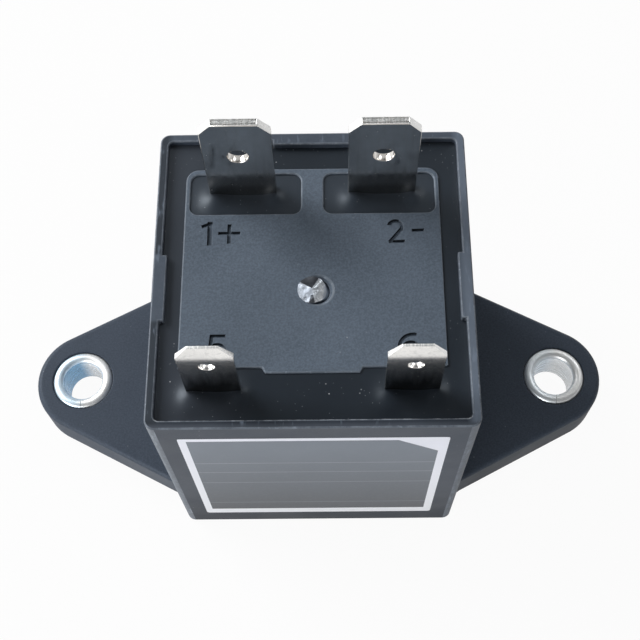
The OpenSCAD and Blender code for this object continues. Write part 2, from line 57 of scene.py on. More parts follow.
BUSH_TOP, BUSH_WALL, BUSH_WALL_RADIUS, BUSH_LIP, BUSH_SEAM = 4.95, 1.2, 2.75, 0.57, 0.4
SIDE_RIB_X, SIDE_RIB_HALF, SIDE_RIB_FRONT, SIDE_RIB_BACK = 13.75, 0.5, -4.7, 1.9
BACK_RIB, BACK_RIB_FACE = 3.75, 13.6
FLANGE_X, FLANGE_Y, FLANGE_LOW, FLANGE_TOP = 13.6, 13.95, 27.2, 28.4
PLATE_X, PLATE_FRONT, PLATE_BACK, PLATE_TOP = 11.95, -9.05, 11.25, 30.9
TONGUE_X, TONGUE_TIP_X, TONGUE_FRONT = 4.95, 4.2, -9.55
RESIN_TOP, RESIN_GRID = 30.7, 0.22
POCKET_X, POCKET_Y, POCKET_W, POCKET_D, POCKET_FLOOR = 6.27, 8.53, 10.4, 4.3, 28.9
LOAD_X, LOAD_Y, LOAD_W, LOAD_T, LOAD_TOP, LOAD_HOLE = 6.5, 8.53, 6.3, 0.8, 42.35, 37.4
LOAD_FOOT_LOW, LOAD_FOOT_HIGH = 26.4, 27.2
COIL_X, COIL_Y, COIL_W, COIL_T, COIL_TOP, COIL_HOLE = 8.65, -11.2, 4.8, 0.5, 40.05, 36.6
COINED, COINED_FLAT = 2.55, 1.35
TUBE_X, TUBE_Y, TUBE_RADIUS, TUBE_LEAN = 0.3, -1.55, 1.25, -0.34
MARK_DEPTH, MARK_SLOPE = 0.26, 0.14
LABEL_X, LABEL_LOW, LABEL_HIGH, LABEL_FACE, LABEL_SEAT = 12, 3.2, 28.7, -14.85, -14.75
LABEL_RULES, LABEL_RULE_HALF = (21.35, 18.4, 14.9, 7.4), 0.07


# Hand tools

def alone(piece=None):
    """Leaves only this piece selected, in object mode."""
    if bpy.context.mode != "OBJECT":
        bpy.ops.object.mode_set(mode="OBJECT")
    bpy.ops.object.select_all(action="DESELECT")
    if piece:
        piece.select_set(True)
        bpy.context.view_layer.objects.active = piece


def settled(name, scale=None):
    """Names the new piece and puts its size and place into its mesh."""
    piece = bpy.context.object
    piece.name = piece.data.name = name
    if scale:
        piece.scale = scale
    bpy.ops.object.transform_apply(location=True, rotation=True, scale=True)
    return piece


def block(name, low, high):
    alone()
    low, high = Vector(low) * MM, Vector(high) * MM
    bpy.ops.mesh.primitive_cube_add(size=1, location=(low + high) / 2)
    return settled(name, high - low)


def rod(name, start, end, radius, sides=48):
    alone()
    start, end = Vector(start) * MM, Vector(end) * MM
    turn = (end - start).to_track_quat("Z", "Y").to_euler()
    bpy.ops.mesh.primitive_cylinder_add(vertices=sides, radius=radius * MM, depth=(end - start).length,
                                        location=(start + end) / 2, rotation=turn)
    return settled(name)


def pick(piece, kind, wanted):
    """Opens a piece in edit mode; a test in millimetres selects its corners, edges or faces."""
    alone(piece)
    bpy.ops.object.mode_set(mode="EDIT")
    bpy.ops.mesh.select_mode(type=kind)
    bpy.ops.mesh.select_all(action="DESELECT")
    mesh = bmesh.from_edit_mesh(piece.data)
    if kind == "FACE":
        for face in mesh.faces:
            face.select_set(wanted(face.calc_center_median() / MM, face.normal))
    elif kind == "EDGE":
        for edge in mesh.edges:
            edge.select_set(wanted(edge.verts[0].co / MM, edge.verts[1].co / MM))
    else:
        for corner in mesh.verts:
            corner.select_set(wanted(corner.co / MM))
    mesh.select_flush_mode()
    bmesh.update_edit_mesh(piece.data)


def every_face(place, facing):
    return True


def upright(a, b):
    return abs(a.x - b.x) < 0.01 and abs(a.y - b.y) < 0.01


def round_upright_edges(piece, radius, wanted=None, steps=6):
    pick(piece, "EDGE", lambda a, b: upright(a, b) and (wanted is None or wanted(a)))
    bpy.ops.mesh.bevel(offset=radius * MM, segments=steps, affect="EDGES")
    alone(piece)


def combine(piece, tool, how):
    """Cuts a tool out of a piece, or welds it on, and throws the tool away."""
    alone(piece)
    change = piece.modifiers.new("combine", "BOOLEAN")
    change.operation = how
    change.solver = "EXACT"
    change.object = tool
    bpy.ops.object.modifier_apply(modifier="combine")
    bpy.data.meshes.remove(tool.data)


def cut(piece, tool):
    combine(piece, tool, "DIFFERENCE")


def weld(piece, tool):
    combine(piece, tool, "UNION")


def clean(piece):
    pick(piece, "VERT", lambda place: True)
    bpy.ops.mesh.remove_doubles(threshold=0.002 * MM)
    bpy.ops.mesh.dissolve_limited(angle_limit=math.radians(0.3))
    alone(piece)


def break_edges(piece, width, angle=38, steps=3, finish=-1):
    """Rounds every sharp edge a little, as moulding does; the rounds may take a finish of their own."""
    alone(piece)
    bevel = piece.modifiers.new("edges", "BEVEL")
    bevel.width = width * MM
    bevel.segments = steps
    bevel.limit_method = "ANGLE"
    bevel.angle_limit = math.radians(angle)
    bevel.use_clamp_overlap = False
    bevel.material = finish
    bpy.ops.object.modifier_apply(modifier="edges")


def smooth(piece, angle=42, flat=None):
    """Smooth shading that keeps flat faces flat, wholly so where a height is given."""
    alone(piece)
    bpy.ops.object.shade_smooth_by_angle(angle=math.radians(angle))
    for face in piece.data.polygons:
        if flat and face.normal.z > 0.9999 and abs(face.center.z / MM - flat) < 0.001:
            face.use_smooth = False
    even = piece.modifiers.new("even", "WEIGHTED_NORMAL")
    even.keep_sharp = True
    bpy.ops.object.modifier_apply(modifier="even")


def joined(pieces, name):
    alone(pieces[0])
    for piece in pieces[1:]:
        piece.select_set(True)
    bpy.ops.object.join()
    pieces[0].name = pieces[0].data.name = name
    return pieces[0]


def copied(piece, name, shift):
    alone(piece)
    twin = piece.copy()
    twin.data = piece.data.copy()
    twin.name = twin.data.name = name
    bpy.context.scene.collection.objects.link(twin)
    twin.data.transform(Matrix.Translation(Vector(shift) * MM))
    return twin


def dress(piece, finishes, stands_for, body="base"):
    """Gives a piece its finishes and its place in the model."""
    for finish in finishes:
        piece.data.materials.append(finish)
    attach(piece, body)
    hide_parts(stands_for)


# Finishes

def new_finish(name):
    finish = bpy.data.materials.new(name)
    finish.use_nodes = True
    tree = finish.node_tree
    place = tree.nodes.new("ShaderNodeTexCoord").outputs["Object"]
    return finish, tree, tree.nodes["Principled BSDF"], place


def set_inputs(tree, node, inputs):
    """Sets inputs of a node, each to a number, a colour or another node's output."""
    for name, value in inputs.items():
        if isinstance(value, bpy.types.NodeSocket):
            tree.links.new(value, node.inputs[name])
        else:
            node.inputs[name].default_value = value


def new_node(tree, kind, inputs):
    node = tree.nodes.new("ShaderNode" + kind)
    set_inputs(tree, node, inputs)
    return node


def stretched(tree, place, scale):
    return new_node(tree, "Mapping", {"Vector": place, "Scale": scale}).outputs["Vector"]


def noise(tree, place, scale, detail=3.0, rough=0.55):
    cloud = {"Vector": place, "Scale": scale, "Detail": detail, "Roughness": rough}
    return new_node(tree, "TexNoise", cloud).outputs["Fac"]


def specks(tree, place, scale, size):
    """One in small round grains, nought elsewhere."""
    cells = new_node(tree, "TexVoronoi", {"Vector": place, "Scale": scale})
    return ranged(tree, cells.outputs["Distance"], size, size * 0.5, 0.0, 1.0)


def ranged(tree, value, from_low, from_high, to_low, to_high):
    limits = {"From Min": from_low, "From Max": from_high, "To Min": to_low, "To Max": to_high}
    return new_node(tree, "MapRange", {"Value": value, **limits}).outputs["Result"]


def reckoned(tree, how, first, second):
    """Two values put together; the second may be a plain number."""
    node = new_node(tree, "Math", {0: first, 1: second})
    node.operation = how
    return node.outputs[0]


def times(tree, first, second):
    return reckoned(tree, "MULTIPLY", first, second)


def plus(tree, first, second):
    return reckoned(tree, "ADD", first, second)


def toned(colour, share):
    """A colour made darker or paler."""
    return tuple(min(1.0, share * c) for c in colour)


def tinted(tree, amount, low, high):
    """A colour that goes from low to high with the amount; either may be another colour output."""
    node = new_node(tree, "Mix", {"Factor": amount})
    node.data_type = "RGBA"
    for socket, colour in ((6, low), (7, high)):
        set_inputs(tree, node, {socket: (*colour, 1.0) if isinstance(colour, tuple) else colour})
    return node.outputs[2]


def axis_of(tree, place, axis):
    return new_node(tree, "SeparateXYZ", {0: place}).outputs[axis]


def faded(tree, place, axis, start, end, whole=1.0, least=0.0):
    """A share that grows along one axis, from least at start to whole at end."""
    return ranged(tree, axis_of(tree, place, axis), start * MM, end * MM, least, whole)


def relief(tree, shader, height, depth):
    """Fine relief of the surface, as deep as depth in millimetres."""
    bump = new_node(tree, "Bump", {"Strength": 1.0, "Distance": depth * MM, "Height": height})
    tree.links.new(bump.outputs["Normal"], shader.inputs["Normal"])


def worn_rim_with_painted_light(tree, place, tone, top, colour, front_colour):
    """Scuffed rim of the case: dark along the front, palest on the right as a painted highlight, with painted
    shade on the left beside its rib.
    """
    rim = faded(tree, place, "Z", top - 0.12, top)
    scuff = ranged(tree, noise(tree, place, 1500, 4.0, 0.7), 0.3, 0.75, 0.45, 1.0)
    behind = faded(tree, place, "Y", -14.1, -13.7, least=0.12)
    past_rib = plus(tree, faded(tree, place, "Y", SIDE_RIB_BACK - 0.1, SIDE_RIB_BACK + 0.2),
                    faded(tree, place, "Y", SIDE_RIB_FRONT + 0.1, SIDE_RIB_FRONT - 0.2))
    shaded = times(tree, faded(tree, place, "X", -13.2, -13.8, 0.85), past_rib)
    ticks = ranged(tree, noise(tree, stretched(tree, place, (1900, 420, 420)), 1.0, 2.0), 0.60, 0.70, 0.0, 0.6)
    # The right rim is paled as a painted highlight and the left rim darkened as painted shade; the scuffs and
    # pale ticks are wear
    for share, shade in ((faded(tree, place, "Y", -13.95, -14.1), front_colour),
                         (times(tree, scuff, behind), colour),
                         (faded(tree, place, "X", 13.2, 13.8, 0.8), toned(colour, 1.7)),
                         (shaded, toned(colour, 0.3)), (ticks, toned(colour, 2.2))):
        tone = tinted(tree, times(tree, rim, share), tone, shade)
    return tone


def painted_front_shade(tree, place, tone, upper, foot):
    """Painted shade on the front of the case, darker toward its foot, and on the lower band of the right ear."""
    front = tinted(tree, faded(tree, place, "Z", 1, 13), foot, upper)
    tone = tinted(tree, faded(tree, place, "Y", -14.3, -14.6, 0.8), tone, front)
    band = times(tree, faded(tree, place, "Z", 4.5, 4.0, 0.8), faded(tree, place, "X", 14, 17))
    return tinted(tree, band, tone, foot)


def plastic_finish(name, dark, pale, rough, specular, grain_depth, dust, glint=(1.0, 1.0, 1.0), rim_wear_and_light=None,
                   front=None):
    """Moulded plastic with a fine spark-eroded grain, a cloudy tone and a little dust."""
    finish, tree, shader, place = new_finish(name)
    cloud = noise(tree, place, 160, 4.0)
    grain = noise(tree, place, 5200, 2.0, 0.6)
    tone = tinted(tree, ranged(tree, cloud, 0.3, 0.7, 0.0, 1.0), dark, pale)
    tone = tinted(tree, ranged(tree, grain, 0.35, 0.7, 0.0, 0.45), tone, toned(pale, 1.7))
    # The rim takes scuffs, a painted highlight on its right and painted shade on its left
    if rim_wear_and_light:
        tone = worn_rim_with_painted_light(tree, place, tone, *rim_wear_and_light)
    # The front takes painted shade toward its foot and on the right ear's lower band
    if front:
        tone = painted_front_shade(tree, place, tone, *front)
    patches = ranged(tree, noise(tree, place, 240), 0.5, 0.66, 0.0, dust)
    grit = times(tree, specks(tree, place, 900, 0.09), patches)
    sheen = ranged(tree, cloud, 0.3, 0.7, rough - 0.06, rough + 0.06)
    set_inputs(tree, shader, {"Base Color": tinted(tree, grit, tone, PLASTIC_DUST), "Roughness": sheen,
                              "Specular IOR Level": specular, "Specular Tint": (*glint, 1.0)})
    relief(tree, shader, grain, grain_depth)
    return finish


def rubbed_finish(name, tone, pale, share, least=0.35):
    """Rubbed plastic edge: pale scuffs, broken up, over the plain tone."""
    finish, tree, shader, place = new_finish(name)
    rub = ranged(tree, noise(tree, place, 1100, 5.0, 0.7), 0.40, 0.64, share * least, share)
    scratches = noise(tree, stretched(tree, place, (2400, 2400, 500)), 1.0, 3.0)
    tone = tinted(tree, rub, tone, pale)
    tone = tinted(tree, ranged(tree, scratches, 0.58, 0.72, 0.0, 0.5), tone, toned(pale, 1.6))
    set_inputs(tree, shader, {"Base Color": tone, "Roughness": ranged(tree, rub, 0.0, 1.0, 0.45, 0.65),
                              "Specular IOR Level": 0.3})
    relief(tree, shader, rub, 0.02)
    return finish


def metal_finish(name, dark, pale, rough, along, line_depth, metallic=1.0, blued=None, uneven=1.0, painted_foot_reflection=None):
    """Plated metal with rolling lines along one direction, a cloudy tone and a few bright nicks.

    It may have a blued share, and painted shade toward its foot, a dark reflection with a wavering edge."""
    finish, tree, shader, place = new_finish(name)
    cloud = noise(tree, place, 420, 4.0)
    lines = noise(tree, stretched(tree, place, along), 1.0, 3.0)
    tone = tinted(tree, ranged(tree, cloud, 0.32, 0.68, 0.0, 1.0), dark, pale)
    tone = tinted(tree, ranged(tree, lines, 0.5, 0.75, 0.0, 0.35), tone, toned(dark, 0.7))
    patches = ranged(tree, noise(tree, place, 300), 0.42, 0.6, 0.0, uneven)
    nicks = times(tree, specks(tree, place, 1150, 0.06), patches)
    if blued:
        share = tree.nodes.new("ShaderNodeAttribute")
        share.attribute_name = "blued"
        tone = tinted(tree, share.outputs["Fac"], tone, blued)
    # Painted reflection of the shaded resin below: darker toward the foot, with a wavering edge
    if painted_foot_reflection:
        low, high, least, waver = painted_foot_reflection
        drawn = noise(tree, stretched(tree, place, (2300, 2300, 260)), 1.0, 3.0)
        edge = ranged(tree, drawn, 0.3, 0.7, -waver * MM, waver * MM)
        height = plus(tree, axis_of(tree, place, "Z"), edge)
        tone = tinted(tree, ranged(tree, height, low * MM, high * MM, 1.0, 0.0), tone, toned(dark, least))
    sheen = ranged(tree, lines, 0.3, 0.7, rough - 0.06 * uneven, rough + 0.08 * uneven)
    set_inputs(tree, shader, {"Base Color": tinted(tree, nicks, tone, METAL_NICK), "Metallic": metallic,
                              "Roughness": plus(tree, sheen, times(tree, nicks, 0.4))})
    relief(tree, shader, lines, line_depth)
    return finish


def resin_finish(name, dark, pale, rough, left):
    """Poured black resin: glossy, slightly wavy, paler to the left as painted light, with dust specks on it."""
    finish, tree, shader, place = new_finish(name)
    tone = tinted(tree, noise(tree, place, 210, 3.0), dark, pale)
    # Painted light: paler toward the left
    tone = tinted(tree, faded(tree, place, "X", -5, -13.5), tone, left)
    coarse = times(tree, specks(tree, place, 1050, 0.075),
                   ranged(tree, noise(tree, place, 330), 0.48, 0.60, 0.0, 0.9))
    fine = times(tree, specks(tree, place, 2100, 0.10),
                 ranged(tree, noise(tree, place, 260), 0.42, 0.60, 0.0, 0.6))
    tone = tinted(tree, coarse, tinted(tree, fine, tone, RESIN_DUST), RESIN_GRAIN)
    set_inputs(tree, shader, {"Base Color": tone, "Roughness": ranged(tree, coarse, 0.0, 1.0, rough, 0.8),
                              "Specular IOR Level": 0.40, "Specular Tint": (*SLATE_GLINT, 1.0)})
    relief(tree, shader, noise(tree, place, 700, 2.0), 0.006)
    return finish


def sheared_finish():
    """Broken edge of a cut strip: streaks across the thickness, bright and dark."""
    finish, tree, shader, place = new_finish("sheared_edge")
    streaks = noise(tree, stretched(tree, place, (7000, 900, 1500)), 1.0, 4.0, 0.65)
    bright = ranged(tree, streaks, 0.44, 0.66, 0.0, 1.0)
    tone = tinted(tree, bright, (0.56, 0.575, 0.575), (0.97, 0.97, 0.96))
    set_inputs(tree, shader, {"Base Color": tone, "Metallic": 0.65,
                              "Roughness": ranged(tree, streaks, 0.3, 0.7, 0.5, 0.28)})
    relief(tree, shader, streaks, 0.02)
    return finish


def film_finish(name, dark, pale, rough, foot):
    """Printed label of thin plastic sheet with a faint texture; its tone changing toward the foot is painted
    light and shade.
    """
    finish, tree, shader, place = new_finish(name)
    cloud = noise(tree, place, 130, 3.0)
    fibre = noise(tree, place, 3800, 2.0)
    tone = tinted(tree, ranged(tree, cloud, 0.3, 0.7, 0.0, 1.0), dark, pale)
    # Painted shade toward the foot, and a painted highlight where the foot tone is paler
    tone = tinted(tree, faded(tree, place, "Z", 4, 26, whole=0.0, least=1.0), tone, foot)
    tone = tinted(tree, ranged(tree, fibre, 0.4, 0.7, 0.0, 0.03), tone, FILM_FIBRE)
    sheen = ranged(tree, fibre, 0.3, 0.7, rough - 0.05, rough + 0.05)
    set_inputs(tree, shader, {"Base Color": tone, "Roughness": sheen})
    relief(tree, shader, fibre, 0.003)
    return finish


def winding_finish():
    """Enamelled wire laid turn beside turn."""
    finish, tree, shader, place = new_finish("enamelled_winding")
    turns = new_node(tree, "TexWave", {"Vector": place, "Scale": 1650, "Distortion": 0.4})
    turns.bands_direction = "Z"
    tone = tinted(tree, turns.outputs["Fac"], (0.10, 0.030, 0.012), (0.46, 0.17, 0.07))
    set_inputs(tree, shader, {"Base Color": tone, "Metallic": 0.75,
                              "Roughness": ranged(tree, noise(tree, place, 700), 0.3, 0.7, 0.25, 0.42)})
    relief(tree, shader, turns.outputs["Fac"], 0.06)
    return finish


SLATE_GLINT, METAL_NICK, FILM_FIBRE = (0.80, 0.90, 1.0), (0.92, 0.92, 0.90), (0.8, 0.8, 0.82)
PLASTIC_DUST, RESIN_DUST, RESIN_GRAIN = (0.34, 0.36, 0.39), (0.30, 0.32, 0.35), (0.50, 0.52, 0.55)
case_plastic = plastic_finish(
    "case_plastic", (0.032, 0.041, 0.057), (0.039, 0.049, 0.067), rough=0.52, specular=0.22, grain_depth=0.008,
    # Rim tones: scuffs, with a painted highlight on the right and painted shade on the left
    dust=0.3, glint=SLATE_GLINT, rim_wear_and_light=(31.45, (0.064, 0.078, 0.100), (0.018, 0.023, 0.032)),
    # Front tones: upper, and a darker foot as painted shade
    front=((0.052, 0.060, 0.076), (0.012, 0.015, 0.021)))
# The edge tone is rubbed wear together with a painted highlight
case_edge_wear_and_highlight = rubbed_finish("case_edge_wear_and_highlight", (0.045, 0.056, 0.074), (0.150, 0.175, 0.210), share=0.85)
case_flash = rubbed_finish("case_flash", (0.022, 0.027, 0.035), (0.340, 0.370, 0.410), share=1.0, least=0.0)
# A paler copy of the edge tone for the left upright corners, a painted highlight
case_corner_painted_highlight = rubbed_finish("case_corner_painted_highlight", (0.070, 0.083, 0.104), (0.20, 0.225, 0.26), share=0.75)
cover_plastic = plastic_finish(
    "cover_plastic", (0.061, 0.078, 0.101), (0.072, 0.091, 0.118), rough=0.50, specular=0.26, grain_depth=0.014,
    dust=0.5, glint=SLATE_GLINT)
# Painted shade for the walls of the sunk marks that face away from the light
mark_painted_shade = plastic_finish(
    "mark_painted_shade", (0.010, 0.013, 0.017), (0.015, 0.019, 0.024), rough=0.6, specular=0.2, grain_depth=0.010,
    dust=0.2)
# Rubbed wear with a painted highlight, on the cover's edges and on the lit walls of the marks
cover_edge_wear_and_highlight = rubbed_finish("cover_edge_wear_and_highlight", (0.070, 0.088, 0.112), (0.150, 0.180, 0.220), share=0.7)
# The left tones of both resins are painted light
potting_resin = resin_finish(
    "potting_resin", (0.0090, 0.0125, 0.0180), (0.0130, 0.0175, 0.0240), rough=0.29, left=(0.035, 0.041, 0.052))
pocket_resin = resin_finish(
    "pocket_resin", (0.017, 0.022, 0.030), (0.023, 0.030, 0.040), rough=0.36, left=(0.020, 0.026, 0.035))
bush_zinc = metal_finish(
    "bush_zinc", (0.86, 0.88, 0.89), (0.95, 0.96, 0.95), rough=0.40, along=(500, 500, 2600), line_depth=0.003,
    metallic=0.8, blued=(0.70, 0.84, 0.95))
bush_bore = metal_finish(
    "bush_bore", (0.92, 0.95, 0.97), (0.97, 0.98, 0.98), rough=0.24, along=(500, 500, 2600), line_depth=0.001,
    metallic=0.5, blued=(0.22, 0.44, 0.66))
# The dark lower parts of both tins are a painted reflection of the shaded resin
tab_tin = metal_finish(
    "tab_tin", (0.66, 0.635, 0.605), (0.80, 0.775, 0.74), rough=0.15, along=(2600, 900, 160), line_depth=0.002,
    painted_foot_reflection=(31.9, 32.7, 0.75, 0.15))
coil_tin = metal_finish(
    "coil_tin", (0.84, 0.83, 0.81), (0.94, 0.925, 0.90), rough=0.20, along=(2400, 2400, 2400),
    line_depth=0.0006, uneven=0.4, painted_foot_reflection=(32.3, 35.4, 0.22, 0.8))
# A whiter, less metallic copy of the plated metal for the cut corners, a painted highlight
tab_painted_highlight = metal_finish(
    "tab_painted_highlight", (0.93, 0.93, 0.92), (0.98, 0.98, 0.97), rough=0.24, along=(900, 900, 900), line_depth=0.003,
    metallic=0.55)
sheared_edge = sheared_finish()
tube_metal = metal_finish(
    "tube_metal", (0.36, 0.40, 0.46), (0.52, 0.57, 0.64), rough=0.34, along=(1500, 1500, 1500), line_depth=0.04)
# Darker and brighter copies of the tube's metal for its pressed facets: painted shade and a painted highlight
tube_painted_shade = metal_finish(
    "tube_painted_shade", (0.045, 0.050, 0.060), (0.17, 0.185, 0.21), rough=0.38, along=(1500, 1500, 1500),
    line_depth=0.04)
tube_painted_highlight = metal_finish(
    "tube_painted_highlight", (0.50, 0.55, 0.61), (0.90, 0.93, 0.96), rough=0.26, along=(1300, 1300, 1300),
    line_depth=0.08, metallic=0.7)
# Foot tones are painted: darker on the field and rules as shade, paler on the frame as light
label_frame_film = film_finish(
    "label_frame_film", (0.70, 0.72, 0.80), (0.76, 0.78, 0.86), rough=0.42, foot=(0.78, 0.80, 0.84))
label_field_film = film_finish(
    "label_field_film", (0.118, 0.142, 0.176), (0.132, 0.158, 0.195), rough=0.45, foot=(0.032, 0.038, 0.047))
label_rule_film = film_finish(
    "label_rule_film", (0.22, 0.24, 0.28), (0.26, 0.28, 0.32), rough=0.42, foot=(0.12, 0.13, 0.15))


# Pieces

def cut_ribs(piece, low, high, room=0.0):
    """Leaves room in a piece for the guide ribs of the case."""
    for side in (-1, 1):
        x, half = side * SIDE_RIB_X, SIDE_RIB_HALF + room
        cut(piece, block("rib", (x - half, SIDE_RIB_FRONT - room, low), (x + half, SIDE_RIB_BACK + room, high)))
    cut(piece, block("rib", (-BACK_RIB - room, BACK_RIB_FACE - room, low), (BACK_RIB + room, 15, high)))


def load_strip(name, side, low, high):
    return block(name, (side * LOAD_X - LOAD_W / 2, LOAD_Y, low),
                 (side * LOAD_X + LOAD_W / 2, LOAD_Y + LOAD_T, high))


def coil_strip(name, side, low, high):
    return block(name, (side * COIL_X - COIL_W / 2, COIL_Y, low),
                 (side * COIL_X + COIL_W / 2, COIL_Y + COIL_T, high))


def make_case():
    """Open box with rounded upright edges, two ears, ribs inside the rim and a shallow seat for the label."""
    shell = block("case_shell", CASE_LOW, CASE_HIGH)
    for finish in (case_plastic, case_edge_wear_and_highlight, case_flash, case_corner_painted_highlight):
        shell.data.materials.append(finish)
    round_upright_edges(shell, CASE_ROUND)
    for side in (-1, 1):
        end = rod("ear_end", (side * EAR_END_X, 0, 0), (side * EAR_END_X, 0, EAR_TOP), EAR_END_RADIUS, 72)
        root = block("ear_root", (side * EAR_ROOT_X - 0.5, -EAR_ROOT_Y, 0),
                     (side * EAR_ROOT_X + 0.5, EAR_ROOT_Y, EAR_TOP))
        ear = joined([end, root], "ear")
        pick(ear, "VERT", lambda place: True)
        bpy.ops.mesh.convex_hull()
        weld(shell, ear)
    clean(shell)
    pick(shell, "EDGE", lambda a, b: upright(a, b) and abs(abs(a.x) - CASE_HIGH[0]) < 0.02
         and abs(abs(a.y) - EAR_ROOT_Y) < 0.1 and max(a.z, b.z) < EAR_TOP + 0.2)
    bpy.ops.mesh.bevel(offset=EAR_FILLET * MM, segments=5, affect="EDGES")
    pick(shell, "EDGE", lambda a, b: abs(a.z - EAR_TOP) < 0.01 and abs(b.z - EAR_TOP) < 0.01
         and max(abs(a.x), abs(b.x)) > CASE_HIGH[0] + 0.05)
    bpy.ops.mesh.bevel(offset=EAR_EDGE * MM, segments=4, affect="EDGES")
    alone(shell)
    for side in (-1, 1):
        cut(shell, rod("bush_hole", (side * HOLE_X, 0, -1), (side * HOLE_X, 0, 6), HOLE_RADIUS, 64))
    inside = block("inside", (-INSIDE_X, -INSIDE_Y, INSIDE_FLOOR), (INSIDE_X, INSIDE_Y, 33))
    round_upright_edges(inside, INSIDE_ROUND, steps=5)
    cut_ribs(inside, 0, 34)
    cut(shell, inside)
    clean(shell)
    # The rounds take the edge tone: rubbed wear with a painted highlight
    break_edges(shell, 0.15, finish=1)
    cut(shell, block("label_seat", (-LABEL_X, -15.5, LABEL_LOW), (LABEL_X, LABEL_SEAT, LABEL_HIGH)))
    smooth(shell)
    # Strips of the upright corner rounds take paler tones as painted highlights, palest on the left; the low
    # faces keep the plain tone
    for face in shell.data.polygons:
        place, facing = face.center / MM, face.normal
        low = place.z < 2 or (place.z < 6 and abs(place.x) > 14.6)
        lean = math.degrees(math.atan2(abs(facing.y), abs(facing.x)))
        round_corner = abs(facing.z) < 0.05 and abs(place.x) > 13.4 and abs(place.y) > 13.8
        rubbed_and_highlit = 3 < lean < 87 if place.y < 0 else 3 < lean < 12 or 78 < lean < 87
        front_lip = place.z > 31.3 and abs(place.y + 14.0) < 0.15 and abs(place.x) < 13.75
        if front_lip and face.material_index == 1:
            face.material_index = 2
        elif round_corner and rubbed_and_highlit:
            face.material_index = 3 if place.x < 0 else 1
        elif low:
            face.material_index = 0
    return shell


def make_bush():
    """Rolled steel sleeve with rounded lips and an open butt seam toward the label side."""
    alone()
    bpy.ops.mesh.primitive_plane_add(size=1, location=Vector((0, -BUSH_WALL_RADIUS, BUSH_TOP / 2)) * MM,
                                     rotation=(0, math.pi / 2, 0))
    bush = settled("bush", (BUSH_TOP * MM, BUSH_WALL * MM, 1))
    pick(bush, "VERT", lambda place: True)
    bpy.ops.mesh.bevel(offset=BUSH_LIP * MM, segments=9, affect="VERTICES")
    bpy.ops.mesh.select_all(action="SELECT")
    bpy.ops.transform.rotate(value=math.radians(BUSH_SEAM), orient_axis="Z", center_override=(0, 0, 0))
    bpy.ops.mesh.spin(steps=112, angle=math.radians(360 - 2 * BUSH_SEAM), center=(0, 0, 0), axis=(0, 0, 1))
    bpy.ops.mesh.select_all(action="SELECT")
    bpy.ops.mesh.remove_doubles(threshold=0.0005 * MM)
    bpy.ops.mesh.normals_make_consistent(inside=False)
    smooth(bush, 35)
    return bush


# Start, end and width of each straight stroke of the terminal marks
MARK_LINES = (((-9.5, 3.04), (-9.5, 5.66), 0.62), ((-10.36, 5.05), (-9.35, 5.46), 0.46),
              ((-7.7, 3.22), (-7.7, 5.38), 0.52), ((-8.8, 4.37), (-6.6, 4.37), 0.46),
              ((8.33, 4.755), (7.08, 3.22), 0.50), ((6.98, 3.30), (8.62, 3.34), 0.46),
              ((9.13, 4.46), (10.42, 4.49), 0.46), ((-9.15, -5.98), (-7.68, -5.98), 0.44),
              ((-8.95, -5.8), (-9.1, -7.25), 0.50))
# Centre, radius, start and sweep in degrees, and width of each curved stroke
MARK_CURVES = (((7.7, 4.86), 0.60, -35, 200, 0.52), ((-8.45, -7.56), 0.75, -140, 280, 0.46),
               ((8.9, -7.2), 1.20, 75, 120, 0.48), ((8.7, -7.55), 0.80, -170, 345, 0.46))


def narrowed(tool, inset):
    """Draws in the lower end of a cutting tool, so that the groove gets sloping sides."""
    low, high = tool.bound_box[0], tool.bound_box[6]
    middle = [(low[i] + high[i]) / 2 for i in range(3)]
    share = [1 - 2 * inset * MM / (high[i] - low[i]) for i in range(2)]
    pick(tool, "VERT", lambda place: place.z < PLATE_TOP)
    bpy.ops.transform.resize(value=(share[0], share[1], 1), center_override=middle)
    alone(tool)
    return tool


def straight_stroke(start, end, width):
    """A tool for one straight stroke of a mark, with sloping sides."""
    start, end = Vector(start), Vector(end)
    run = end - start
    tool = narrowed(block("stroke", (-run.length / 2, -width / 2, PLATE_TOP - MARK_DEPTH),
                          (run.length / 2, width / 2, PLATE_TOP + MARK_DEPTH)), MARK_SLOPE)
    tool.rotation_euler = (0, 0, math.atan2(run.y, run.x))
    tool.location = (start + end).to_3d() / 2 * MM
    return settled("stroke")


def curved_stroke(centre, radius, start, sweep, width):
    """A tool for one curved stroke of a mark: its section spun about a centre."""
    alone()
    bpy.ops.mesh.primitive_plane_add(size=1, location=Vector((radius, 0, PLATE_TOP)) * MM,
                                     rotation=(math.pi / 2, 0, 0))
    tool = settled("stroke", (width * MM, 2 * MARK_DEPTH * MM, 1))
    pick(tool, "VERT", lambda place: place.z < PLATE_TOP)
    bpy.ops.transform.resize(value=(1 - 2 * MARK_SLOPE / width, 1, 1), center_override=(radius * MM, 0, 0))
    bpy.ops.mesh.select_all(action="SELECT")
    bpy.ops.mesh.spin(steps=round(sweep / 9), angle=math.radians(-sweep), center=(0, 0, 0), axis=(0, 0, 1))
    bpy.ops.mesh.select_all(action="SELECT")
    bpy.ops.mesh.normals_make_consistent(inside=False)
    alone(tool)
    tool.rotation_euler = (0, 0, math.radians(start))
    tool.location = Vector((*centre, 0)) * MM
    return settled("stroke")


def mark_strokes():
    """Tools for the terminal marks 1+, 2-, 5 and 6, stroke by stroke."""
    for start, end, width in MARK_LINES:
        yield straight_stroke(start, end, width)
    for centre, radius, start, sweep, width in MARK_CURVES:
        yield curved_stroke(centre, radius, start, sweep, width)


def pocket_tool(side, low, high, grow=0.0):
    tool = block("pocket", (side * POCKET_X - POCKET_W / 2 - grow, POCKET_Y - POCKET_D / 2 - grow, low),
                 (side * POCKET_X + POCKET_W / 2 + grow, POCKET_Y + POCKET_D / 2 + grow, high))
    round_upright_edges(tool, 0.8)
    return tool


